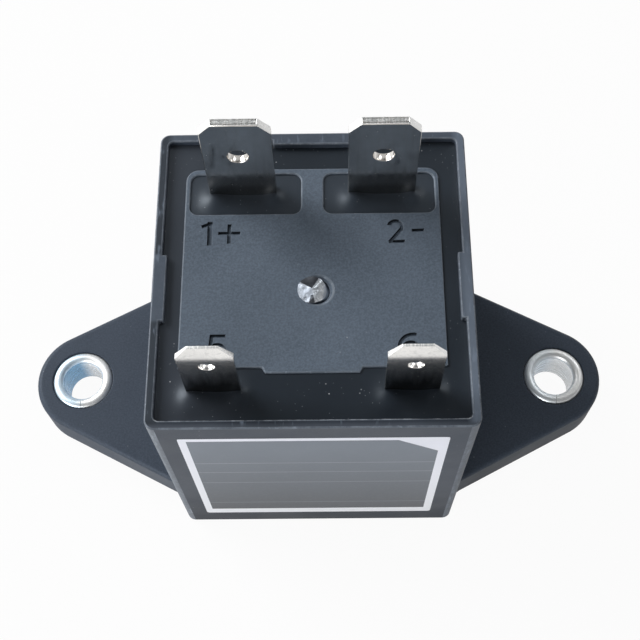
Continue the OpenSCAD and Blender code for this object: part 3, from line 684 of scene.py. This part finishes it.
def plate_tool(low, high, grow=0.0):
    """The raised part of the cover with its tongue."""
    plate = block("cover_moulding", (-PLATE_X - grow, PLATE_FRONT - grow, low),
                  (PLATE_X + grow, PLATE_BACK + grow, high))
    round_upright_edges(plate, 1.2, lambda place: place.y > 0)
    tongue = block("tongue", (-TONGUE_X - grow, TONGUE_FRONT - grow, low), (TONGUE_X + grow, -8, high))
    pick(tongue, "VERT", lambda place: place.y < -9)
    bpy.ops.transform.resize(value=(TONGUE_TIP_X / TONGUE_X, 1, 1), center_override=(0, 0, 0))
    weld(plate, tongue)
    clean(plate)
    return plate


def make_cover():
    """Cover with a raised top, two pockets for the load tabs, a recess for the tube and sunk terminal marks."""
    cover = plate_tool(28.2, PLATE_TOP)
    for finish in (cover_plastic, cover_edge_wear_and_highlight, mark_painted_shade):
        cover.data.materials.append(finish)
    flange = block("flange", (-FLANGE_X, -FLANGE_Y, FLANGE_LOW), (FLANGE_X, FLANGE_Y, FLANGE_TOP))
    round_upright_edges(flange, INSIDE_ROUND, steps=4)
    cut_ribs(flange, 27, 29, 0.1)
    weld(cover, flange)
    for side in (-1, 1):
        cut(cover, pocket_tool(side, POCKET_FLOOR, 32))
        cut(cover, load_strip("slot", side, 26, 29.5))
        cut(cover, coil_strip("slot", side, 26, 29.5))
    cut(cover, rod("tube_hole", (TUBE_X, TUBE_Y, 26), (TUBE_X, TUBE_Y, 33), TUBE_RADIUS))
    alone()
    bpy.ops.mesh.primitive_cone_add(vertices=48, radius1=0.9 * MM, radius2=2.0 * MM, depth=1.2 * MM,
                                    location=Vector((TUBE_X + 0.15, TUBE_Y, PLATE_TOP)) * MM)
    cut(cover, settled("tube_recess"))
    clean(cover)
    # The rounds take the edge tone: rubbed wear with a painted highlight
    break_edges(cover, 0.14, finish=1)
    for turn, stroke in enumerate(mark_strokes()):
        # Strokes that meet get floors a hair apart, so that the cuts stay clean
        stroke.data.transform(Matrix.Translation((0, 0, -0.001 * turn * MM)))
        cut(cover, stroke)
    # Walls of the sunk marks facing right and front take painted shade; the other walls take the edge tone as a
    # painted highlight
    for face in cover.data.polygons:
        place, facing = face.center / MM, face.normal
        sunk = PLATE_TOP - 0.3 < place.z < PLATE_TOP - 0.02 and abs(place.x) > 6 and -9 < place.y < 6
        if sunk and 0.2 < facing.z < 0.95:
            face.material_index = 2 if facing.x - 0.7 * facing.y > 0.15 else 1
    smooth(cover, flat=PLATE_TOP)
    return cover


def poured(name, low, high, top, swell):
    """A pour of resin between two corners: a fine grid raised by swell, then given its depth."""
    alone()
    across, along = high[0] - low[0], high[1] - low[1]
    middle = Vector(((low[0] + high[0]) / 2, (low[1] + high[1]) / 2, top)) * MM
    bpy.ops.mesh.primitive_grid_add(x_subdivisions=round(across / RESIN_GRID),
                                    y_subdivisions=round(along / RESIN_GRID), size=1, location=middle)
    pour = settled(name, (across * MM, along * MM, 1))
    for v in pour.data.vertices:
        v.co.z += swell(v.co / MM) * MM
    pick(pour, "FACE", every_face)
    bpy.ops.mesh.extrude_region_move(TRANSFORM_OT_translate={"value": (0, 0, 0)})
    mesh = bmesh.from_edit_mesh(pour.data)
    for corner in mesh.verts:
        if corner.select:
            corner.co.z = low[2] * MM
    bmesh.update_edit_mesh(pour.data)
    bpy.ops.mesh.select_all(action="SELECT")
    bpy.ops.mesh.normals_make_consistent(inside=False)
    alone(pour)
    return pour


def mounds(place, middle, half, y, height):
    """Soft mounds of resin at the two ends of a tab, the left one broad and round its front corner."""
    left = math.hypot(place.x - middle + half - 0.45, (place.y - y + 0.55) * 0.85)
    right = math.hypot(place.x - middle - half + 0.2, (place.y - y + 0.1) * 0.85)
    return height * (math.exp(-(left / 1.15) ** 2) + 0.9 * math.exp(-(right / 0.8) ** 2))


def channel_swell(place):
    """Resin climbs the walls, apart from the front one, and the ends of the coil tabs."""
    wall = min(INSIDE_X - abs(place.x), INSIDE_Y - place.y)
    height = 0.18 * math.exp(-max(wall, 0) / 0.8)
    for side in (-1, 1):
        height += mounds(place, side * COIL_X, COIL_W / 2, COIL_Y, 0.32)
    return height + 0.015 * math.sin(place.x * 0.9) * math.cos(place.y * 0.7)


def pocket_swell(side):
    def swell(place):
        return mounds(place, side * LOAD_X, LOAD_W / 2, LOAD_Y, 0.38)
    return swell


def make_resin():
    """Ring of resin round the raised top and the fill of the two pockets."""
    ring = poured("resin", (-INSIDE_X + 0.02, -INSIDE_Y + 0.02, FLANGE_TOP),
                  (INSIDE_X - 0.02, INSIDE_Y - 0.02, FLANGE_TOP), RESIN_TOP, channel_swell)
    cut(ring, plate_tool(27, 34, 0.005))
    cut_ribs(ring, 20, 34)
    fills = []
    for side in (-1, 1):
        cut(ring, coil_strip("tab", side, 20, 34))
        fill = poured("pocket_fill", (side * POCKET_X - 5.3, POCKET_Y - 2.25, POCKET_FLOOR),
                      (side * POCKET_X + 5.3, POCKET_Y + 2.25, POCKET_FLOOR), RESIN_TOP, pocket_swell(side))
        combine(fill, pocket_tool(side, 28, 34, -0.01), "INTERSECT")
        cut(fill, load_strip("tab", side, 20, 34))
        fills.append(fill)
    resin = joined([ring] + fills, "potting_fill")
    smooth(resin, 50)
    for face in resin.data.polygons:
        place = face.center / MM
        face.material_index = abs(place.y - POCKET_Y) < 2.2 and abs(abs(place.x) - POCKET_X) < 5.25
    return resin


def slice_off(piece, point, normal):
    """Cuts away what lies beyond a plane and closes the cut."""
    pick(piece, "FACE", every_face)
    bpy.ops.mesh.bisect(plane_co=Vector(point) * MM, plane_no=Vector(normal).normalized(), use_fill=True,
                        clear_outer=True, threshold=0.0005 * MM)
    alone(piece)


def rough_top(tab, top):
    """Divides the cut end of a strip and pushes its points about."""
    pick(tab, "FACE", lambda place, normal: normal.z > 0.95 and place.z > top - 0.1)
    bpy.ops.mesh.subdivide(number_cuts=5)
    bpy.ops.mesh.subdivide(number_cuts=3)
    bpy.ops.transform.translate(value=(0, 0, -0.05 * MM))
    bpy.ops.transform.vertex_random(offset=0.018 * MM, uniform=0.3, normal=0.7, seed=7)
    alone(tab)


def give_finishes(tab, which):
    """Finish of each face of a strip: 0 plain, 1 sheared, 2 a brighter copy as a painted highlight."""
    for face in tab.data.polygons:
        face.material_index = which(face.center / MM, face.normal)


def make_load_tab(name, side):
    """Stamped strip: tab above with cut corners and a hole, foot below under the cover."""
    x, top = side * LOAD_X, LOAD_TOP
    tab = load_strip(name, side, LOAD_FOOT_LOW, top)
    for end in (-1, 1):
        slice_off(tab, (x + end * LOAD_W / 2, 0, top - 1.35), (end * 1.35, 0, 1.15))
    pick(tab, "EDGE", lambda a, b: min(a.z, b.z) > top - 0.01 and abs(a.y - b.y) < 0.01)
    bpy.ops.mesh.bevel(offset=0.22 * MM, segments=4, affect="EDGES")
    weld(tab, block("foot", (x - LOAD_W / 2, -2, LOAD_FOOT_LOW),
                    (x + LOAD_W / 2, LOAD_Y + LOAD_T, LOAD_FOOT_HIGH)))
    cut(tab, rod("hole", (x, 5, LOAD_HOLE), (x, 12, LOAD_HOLE), 0.95, 40))
    cut(tab, rod("shank_hole", (x, 0, 20), (x, 0, 30), 0.8, 32))
    clean(tab)
    break_edges(tab, 0.1)
    rough_top(tab, top)
    smooth(tab)
    give_finishes(tab, lambda place, facing: 1 if place.z > top - 0.25 and facing.z > 0.62 and abs(facing.x) < 0.5
                  else 2 if place.z > top - 1.5 and facing.z > 0.4 and abs(facing.x) > 0.4 else 0)
    return tab


def coined(drop):
    """How deep the coined tip of a coil strip is drawn in, at a distance below its end."""
    if drop > COINED:
        return 0.0
    if drop > COINED_FLAT:
        return 0.06 * ((COINED - drop) / (COINED - COINED_FLAT)) ** 2.4
    return 0.06 + 0.12 * (COINED_FLAT - drop)


def make_coil_tab(name, side):
    """Thin strip with a coined tip, cut corners and a hole."""
    x, top, foot = side * COIL_X, COIL_TOP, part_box("coil_terminal_5")[0].z / MM
    tab = coil_strip(name, side, foot, top)
    for step in range(9):
        pick(tab, "FACE", every_face)
        bpy.ops.mesh.bisect(plane_co=(0, 0, (top - COINED + 0.15 * step) * MM), plane_no=(0, 0, 1))
    alone(tab)
    for v in tab.data.vertices:
        front = v.co.y < (COIL_Y + COIL_T / 2) * MM
        v.co.y += coined(top - v.co.z / MM) * (MM if front else -0.15 * MM)
    for end in (-1, 1):
        slice_off(tab, (x + end * COIL_W / 2, 0, top - 1.65), (end * 1.65, 0, 1.12))
    cut(tab, rod("hole", (x, -14, COIL_HOLE), (x, -8, COIL_HOLE), 0.7, 36))
    clean(tab)
    break_edges(tab, 0.04, 25)
    smooth(tab)
    give_finishes(tab, lambda place, facing: 1 if place.z > top - 0.06 and facing.z > 0.5
                  else 2 if place.z > top - 1.7 and facing.z > 0.25 and abs(facing.x) > 0.4 else 0)
    return tab


# Direction in degrees, slope and height of each flat pressed into the tube's head
TUBE_FLATS = ((219, 0.29, 0.0), (112, 0.22, 0.02), (50, 0.26, 0.06), (-8, 0.62, 0.16), (268, 0.50, 0.34))


def pinched(place):
    """Height of the pinched tube end over its middle: the lowest of five pressed flats."""
    return min(offset - slope * (place.x * math.cos(math.radians(turn)) + place.y * math.sin(math.radians(turn)))
               for turn, slope, offset in TUBE_FLATS)


def make_tube():
    """Evacuation tube pinched shut, its head pressed over toward one side."""
    tube = rod("sealing_tube_end", (TUBE_X, TUBE_Y, 26.9), (TUBE_X, TUBE_Y, 30.3), TUBE_RADIUS, 64)
    head = Vector((TUBE_X + TUBE_LEAN, TUBE_Y, 0)) * MM
    pick(tube, "FACE", lambda place, facing: facing.z > 0.9)
    bpy.ops.mesh.extrude_region_move(TRANSFORM_OT_translate={"value": (TUBE_LEAN * MM, 0, 0.63 * MM)})
    bpy.ops.transform.resize(value=(1.05, 1.05, 1), center_override=head)
    bpy.ops.mesh.extrude_region_move(TRANSFORM_OT_translate={"value": (0, 0, 0.05 * MM)})
    for ring in range(10):
        bpy.ops.mesh.inset(thickness=0.12 * MM)
        bpy.ops.transform.translate(value=(0, 0, 0.01 * MM))
    bpy.ops.mesh.poke()
    alone(tube)
    for v in tube.data.vertices:
        place = (v.co - head) / MM
        if place.z > 30.95:
            ripple = 0.008 * math.sin(5 * place.x + 2) * math.cos(6 * place.y)
            v.co.z = (31.28 + pinched(place) + ripple) * MM
        elif place.z > 30.9:
            v.co.z = min(v.co.z, (31.18 + pinched(place)) * MM)
    smooth(tube, 24)
    # By direction, facets of the pinched head take painted shade toward the back and at a front patch, and a
    # painted highlight toward the right
    for face in tube.data.polygons:
        place = (face.center - head) / MM
        turn = math.degrees(math.atan2(place.y, place.x))
        if place.z > 30.8 and face.normal.z > 0.5:
            dark = 62 < turn < 148 or (-104 < turn < -78 and math.hypot(place.x, place.y) > 0.6)
            face.material_index = 1 if dark else 2 if -76 < turn < 55 else 0
    return tube


def make_label():
    """Film label: pale frame with a clipped corner, grey field and four thin rules."""
    label = block("label_film", (-LABEL_X, LABEL_FACE, LABEL_LOW), (LABEL_X, LABEL_SEAT, LABEL_HIGH))
    pick(label, "EDGE", lambda a, b: abs(a.x - b.x) < 0.01 and abs(a.z - b.z) < 0.01)
    bpy.ops.mesh.bevel(offset=0.35 * MM, segments=4, affect="EDGES")
    left, right, low, high = -11.28, 11.2, 4.8, 27.98
    clip_x, clip_z = 7.5, 24.8
    lines = [((x, 0, 0), (1, 0, 0)) for x in (left, clip_x, right)]
    lines += [((0, 0, z), (0, 0, 1)) for z in (low, clip_z, high)]
    lines += [((0, 0, height + edge), (0, 0, 1)) for height in LABEL_RULES
              for edge in (-LABEL_RULE_HALF, LABEL_RULE_HALF)]
    for point, across in lines:
        pick(label, "FACE", every_face)
        bpy.ops.mesh.bisect(plane_co=Vector(point) * MM, plane_no=across)
    pick(label, "FACE", lambda place, facing: facing.y < -0.9 and clip_x < place.x < right
         and clip_z < place.z < high)
    slant = Vector((high - clip_z, 0, right - clip_x)).normalized()
    bpy.ops.mesh.bisect(plane_co=Vector((clip_x, LABEL_FACE, high)) * MM, plane_no=slant)
    alone(label)
    for face in label.data.polygons:
        place = face.center / MM
        inside = face.normal.y < -0.9 and left < place.x < right and low < place.z < high
        corner = (place.x - clip_x) * (high - clip_z) + (place.z - high) * (right - clip_x) > 0.01
        rule = inside and any(abs(place.z - height) < 0.05 for height in LABEL_RULES)
        face.material_index = 2 if rule else 1 if inside and not corner else 0
    return label


def make_spring(name, radius, wire, low, high, turns):
    """Wire wound round the shaft, its two ends ground flat."""
    alone()
    spare = 0.3 * wire
    bpy.ops.mesh.primitive_circle_add(vertices=14, radius=wire / 2 * MM, rotation=(math.pi / 2, 0, 0),
                                      location=Vector((radius, 0, low - spare + wire / 2)) * MM)
    spring = settled(name)
    wind = spring.modifiers.new("wind", "SCREW")
    wind.iterations = turns
    wind.screw_offset = (high - low + 2 * spare - wire) / turns * MM
    wind.steps = wind.render_steps = 32
    bpy.ops.object.modifier_apply(modifier="wind")
    pick(spring, "FACE", every_face)
    bpy.ops.mesh.fill_holes(sides=0)
    bpy.ops.mesh.normals_make_consistent(inside=False)
    slice_off(spring, (0, 0, low), (0, 0, -1))
    slice_off(spring, (0, 0, high), (0, 0, 1))
    smooth(spring, 50)
    return spring


case = make_case()
dress(case, [], "case")
bush_start = make_bush()
bushes = joined([copied(bush_start, "left_bush", (-HOLE_X, 0, 0)),
                 copied(bush_start, "right_bush", (HOLE_X, 0, 0))], "bushes")
bpy.data.meshes.remove(bush_start.data)
blued = bushes.data.attributes.new("blued", "FLOAT", "POINT")
for v in bushes.data.vertices:
    across = v.co.x / MM - math.copysign(HOLE_X, v.co.x)
    blued.data[v.index].value = min(max((0.5 - across) / 1.2, 0), 1) * (1.0 if v.co.x < 0 else 0.35)
for face in bushes.data.polygons:
    across = face.center.x / MM - math.copysign(HOLE_X, face.center.x)
    face.material_index = math.hypot(across, face.center.y / MM) < 2.2
dress(bushes, [bush_zinc, bush_bore], "mounting_bushes")
cover = make_cover()
dress(cover, [], "inner_cover")
resin = make_resin()
dress(resin, [potting_resin, pocket_resin], "potting")
for name, side, node in (("load_tab_1", -1, "load_terminal_1"), ("load_tab_2", 1, "load_terminal_2")):
    dress(make_load_tab(name, side), [tab_tin, sheared_edge, tab_painted_highlight], node)
for name, side, node in (("coil_tab_5", -1, "coil_terminal_5"), ("coil_tab_6", 1, "coil_terminal_6")):
    dress(make_coil_tab(name, side), [coil_tin, sheared_edge, tab_painted_highlight], node)
dress(make_tube(), [tube_metal, tube_painted_shade, tube_painted_highlight], "sealing_tube")
dress(make_label(), [label_frame_film, label_field_film, label_rule_film], "rating_label")

# Springs, each built at one length; the contact spring goes with the plunger, the lift spring stays with the base
spring_steel = metal_finish(
    "spring_steel", (0.52, 0.52, 0.54), (0.66, 0.66, 0.68), rough=0.22, along=(800, 800, 1800),
    line_depth=0.004)
lift_spring = make_spring("lift_spring", radius=1.65, wire=0.4, low=6.68, high=12.67, turns=5)
dress(lift_spring, [spring_steel], "return_spring")
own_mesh(lift_spring)
touch_spring = make_spring("touch_spring", radius=1.8, wire=0.3, low=18.82, high=22.03, turns=4)
dress(touch_spring, [spring_steel], "contact_spring", "plunger")
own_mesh(touch_spring)

# Finishes of the sealed pieces, which keep their CAD shapes
contact_silver = metal_finish(
    "contact_silver", (0.80, 0.79, 0.76), (0.90, 0.89, 0.86), rough=0.30, along=(900, 900, 900),
    line_depth=0.006)
chamber_ceramic = plastic_finish(
    "chamber_ceramic", (0.62, 0.60, 0.54), (0.72, 0.70, 0.64), rough=0.62, specular=0.4, grain_depth=0.02,
    dust=0.2)
magnet_black = plastic_finish(
    "magnet_black", (0.035, 0.034, 0.033), (0.05, 0.049, 0.047), rough=0.55, specular=0.5, grain_depth=0.02,
    dust=0.2)
bridge_copper = metal_finish(
    "bridge_copper", (0.66, 0.30, 0.18), (0.80, 0.42, 0.27), rough=0.28, along=(300, 2400, 300),
    line_depth=0.006)
bobbin_plastic = plastic_finish(
    "bobbin_plastic", (0.30, 0.27, 0.20), (0.36, 0.33, 0.25), rough=0.5, specular=0.45, grain_depth=0.012,
    dust=0.15)
shaft_steel = metal_finish(
    "shaft_steel", (0.58, 0.58, 0.59), (0.70, 0.70, 0.71), rough=0.20, along=(600, 600, 3000), line_depth=0.004)
soft_iron = metal_finish(
    "soft_iron", (0.40, 0.41, 0.43), (0.56, 0.57, 0.58), rough=0.34, along=(700, 700, 700), line_depth=0.008)
rubber_pad = plastic_finish(
    "rubber_pad", (0.018, 0.018, 0.018), (0.030, 0.030, 0.029), rough=0.8, specular=0.3, grain_depth=0.03,
    dust=0.2)
winding_copper = winding_finish()
sealed_finishes = {
    "fixed_contacts": contact_silver, "bridge_contacts": contact_silver, "arc_chamber": chamber_ceramic,
    "blowout_magnets": magnet_black, "contact_bridge": bridge_copper,
    "bridge_carrier": bobbin_plastic, "retaining_ring": spring_steel, "plunger_shaft": shaft_steel,
    "plunger": soft_iron, "fixed_core": soft_iron, "plunger_can": shaft_steel,
    "buffer_pad": rubber_pad, "bobbin": bobbin_plastic, "coil_winding": winding_copper,
    "coil_leads": bridge_copper, "yoke_frame": soft_iron, "yoke_plate": soft_iron}
for node, finish in sealed_finishes.items():
    nodes[node].data.materials.clear()
    nodes[node].data.materials.append(finish)


# Studio

FLOOR_RADIUS, FLOOR_BEND, FLOOR_STEPS = 0.9, 0.25, 8


def make_floor():
    """Round pale floor that curves up into a low backdrop all round."""
    alone()
    bpy.ops.mesh.primitive_circle_add(vertices=96, radius=FLOOR_RADIUS, fill_type="NGON",
                                      location=(0, 0, -0.0001))
    floor = settled("studio_floor")
    rise, reach = 0.0, FLOOR_RADIUS
    for step in range(1, FLOOR_STEPS + 1):
        angle = math.radians(90 * step / FLOOR_STEPS)
        height, spread = FLOOR_BEND * (1 - math.cos(angle)), FLOOR_RADIUS + FLOOR_BEND * math.sin(angle)
        pick(floor, "EDGE", lambda a, b: min(math.hypot(a.x, a.y), math.hypot(b.x, b.y)) > reach * 999)
        bpy.ops.mesh.extrude_edges_move(TRANSFORM_OT_translate={"value": (0, 0, height - rise)})
        bpy.ops.transform.resize(value=(spread / reach, spread / reach, 1), center_override=(0, 0, 0))
        rise, reach = height, spread
    bpy.ops.mesh.extrude_edges_move(TRANSFORM_OT_translate={"value": (0, 0, 0.25)})
    alone(floor)
    bpy.ops.object.shade_smooth()
    return floor


def floor_finish():
    """White to the eye, paler or darker in reflections with its height, yet it keeps a soft shadow."""
    finish = bpy.data.materials.new("studio_white")
    finish.use_nodes = True
    tree = finish.node_tree
    tree.nodes.clear()
    paper = new_node(tree, "BsdfDiffuse", {"Color": (0.60, 0.60, 0.60, 1)})
    white = new_node(tree, "Emission", {"Strength": 1.0})
    seen = tree.nodes.new("ShaderNodeLightPath").outputs
    place = tree.nodes.new("ShaderNodeTexCoord").outputs["Object"]
    mirrored = times(tree, reckoned(tree, "MAXIMUM", seen["Is Glossy Ray"], seen["Is Transmission Ray"]),
                     ranged(tree, axis_of(tree, place, "Z"), 0.02, 0.12, 0.7, 0.2))
    share = reckoned(tree, "MAXIMUM", times(tree, seen["Is Camera Ray"], 0.95), mirrored)
    blend = new_node(tree, "MixShader", {0: share, 1: paper.outputs[0], 2: white.outputs[0]})
    new_node(tree, "OutputMaterial", {"Surface": blend.outputs[0]})
    return finish


def softbox(name, place, size, watts):
    alone()
    bpy.ops.object.light_add(type="AREA", location=place)
    lamp = bpy.context.object
    lamp.name = name
    lamp.data.shape = "RECTANGLE"
    lamp.data.size, lamp.data.size_y = size
    lamp.data.energy = watts
    aim = Vector((0, 0, 0.015)) - Vector(place)
    lamp.rotation_euler = aim.to_track_quat("-Z", "Y").to_euler()
    lamp.visible_camera = False


floor = make_floor()
floor.data.materials.append(floor_finish())
softbox("softbox_back_left", (-0.76, 0.46, 0.68), (0.64, 0.64), 14.0)
softbox("softbox_top_back", (0.10, 0.75, 0.95), (1.20, 0.60), 1.0)
softbox("softbox_front_left", (-0.58, -0.74, 0.27), (0.80, 0.40), 6.8)
softbox("softbox_back_right", (0.50, 0.45, 0.65), (0.36, 0.36), 0.9)
world = bpy.data.worlds.new("studio_air")
bpy.context.scene.world = world
world.use_nodes = True
air = world.node_tree.nodes["Background"]
air.inputs["Color"].default_value = (1, 1, 1, 1)
air.inputs["Strength"].default_value = 0.18

# Camera at the photograph's angle
pitch, yaw, roll = math.radians(66.0), math.radians(-1.85), math.radians(-2.29)
ahead = Vector((math.sin(yaw) * math.cos(pitch), math.cos(yaw) * math.cos(pitch), -math.sin(pitch)))
level = Vector((math.cos(yaw), -math.sin(yaw), 0))
lift = level.cross(ahead)
right = math.cos(roll) * level + math.sin(roll) * lift
up = math.cos(roll) * lift - math.sin(roll) * level
alone()
bpy.ops.object.camera_add()
camera = bpy.context.object
camera.name = "photo_camera"
camera.data.lens = 63.58
camera.data.sensor_width = 36.0
camera.data.clip_start = 0.01
camera.data.clip_end = 10.0
turned = Matrix((right, up, -ahead)).transposed().to_4x4()
camera.matrix_world = Matrix.Translation(Vector((1.991, -45.578, 123.163)) * MM) @ turned
bpy.context.scene.camera = camera
bpy.context.scene.view_settings.view_transform = "Standard"
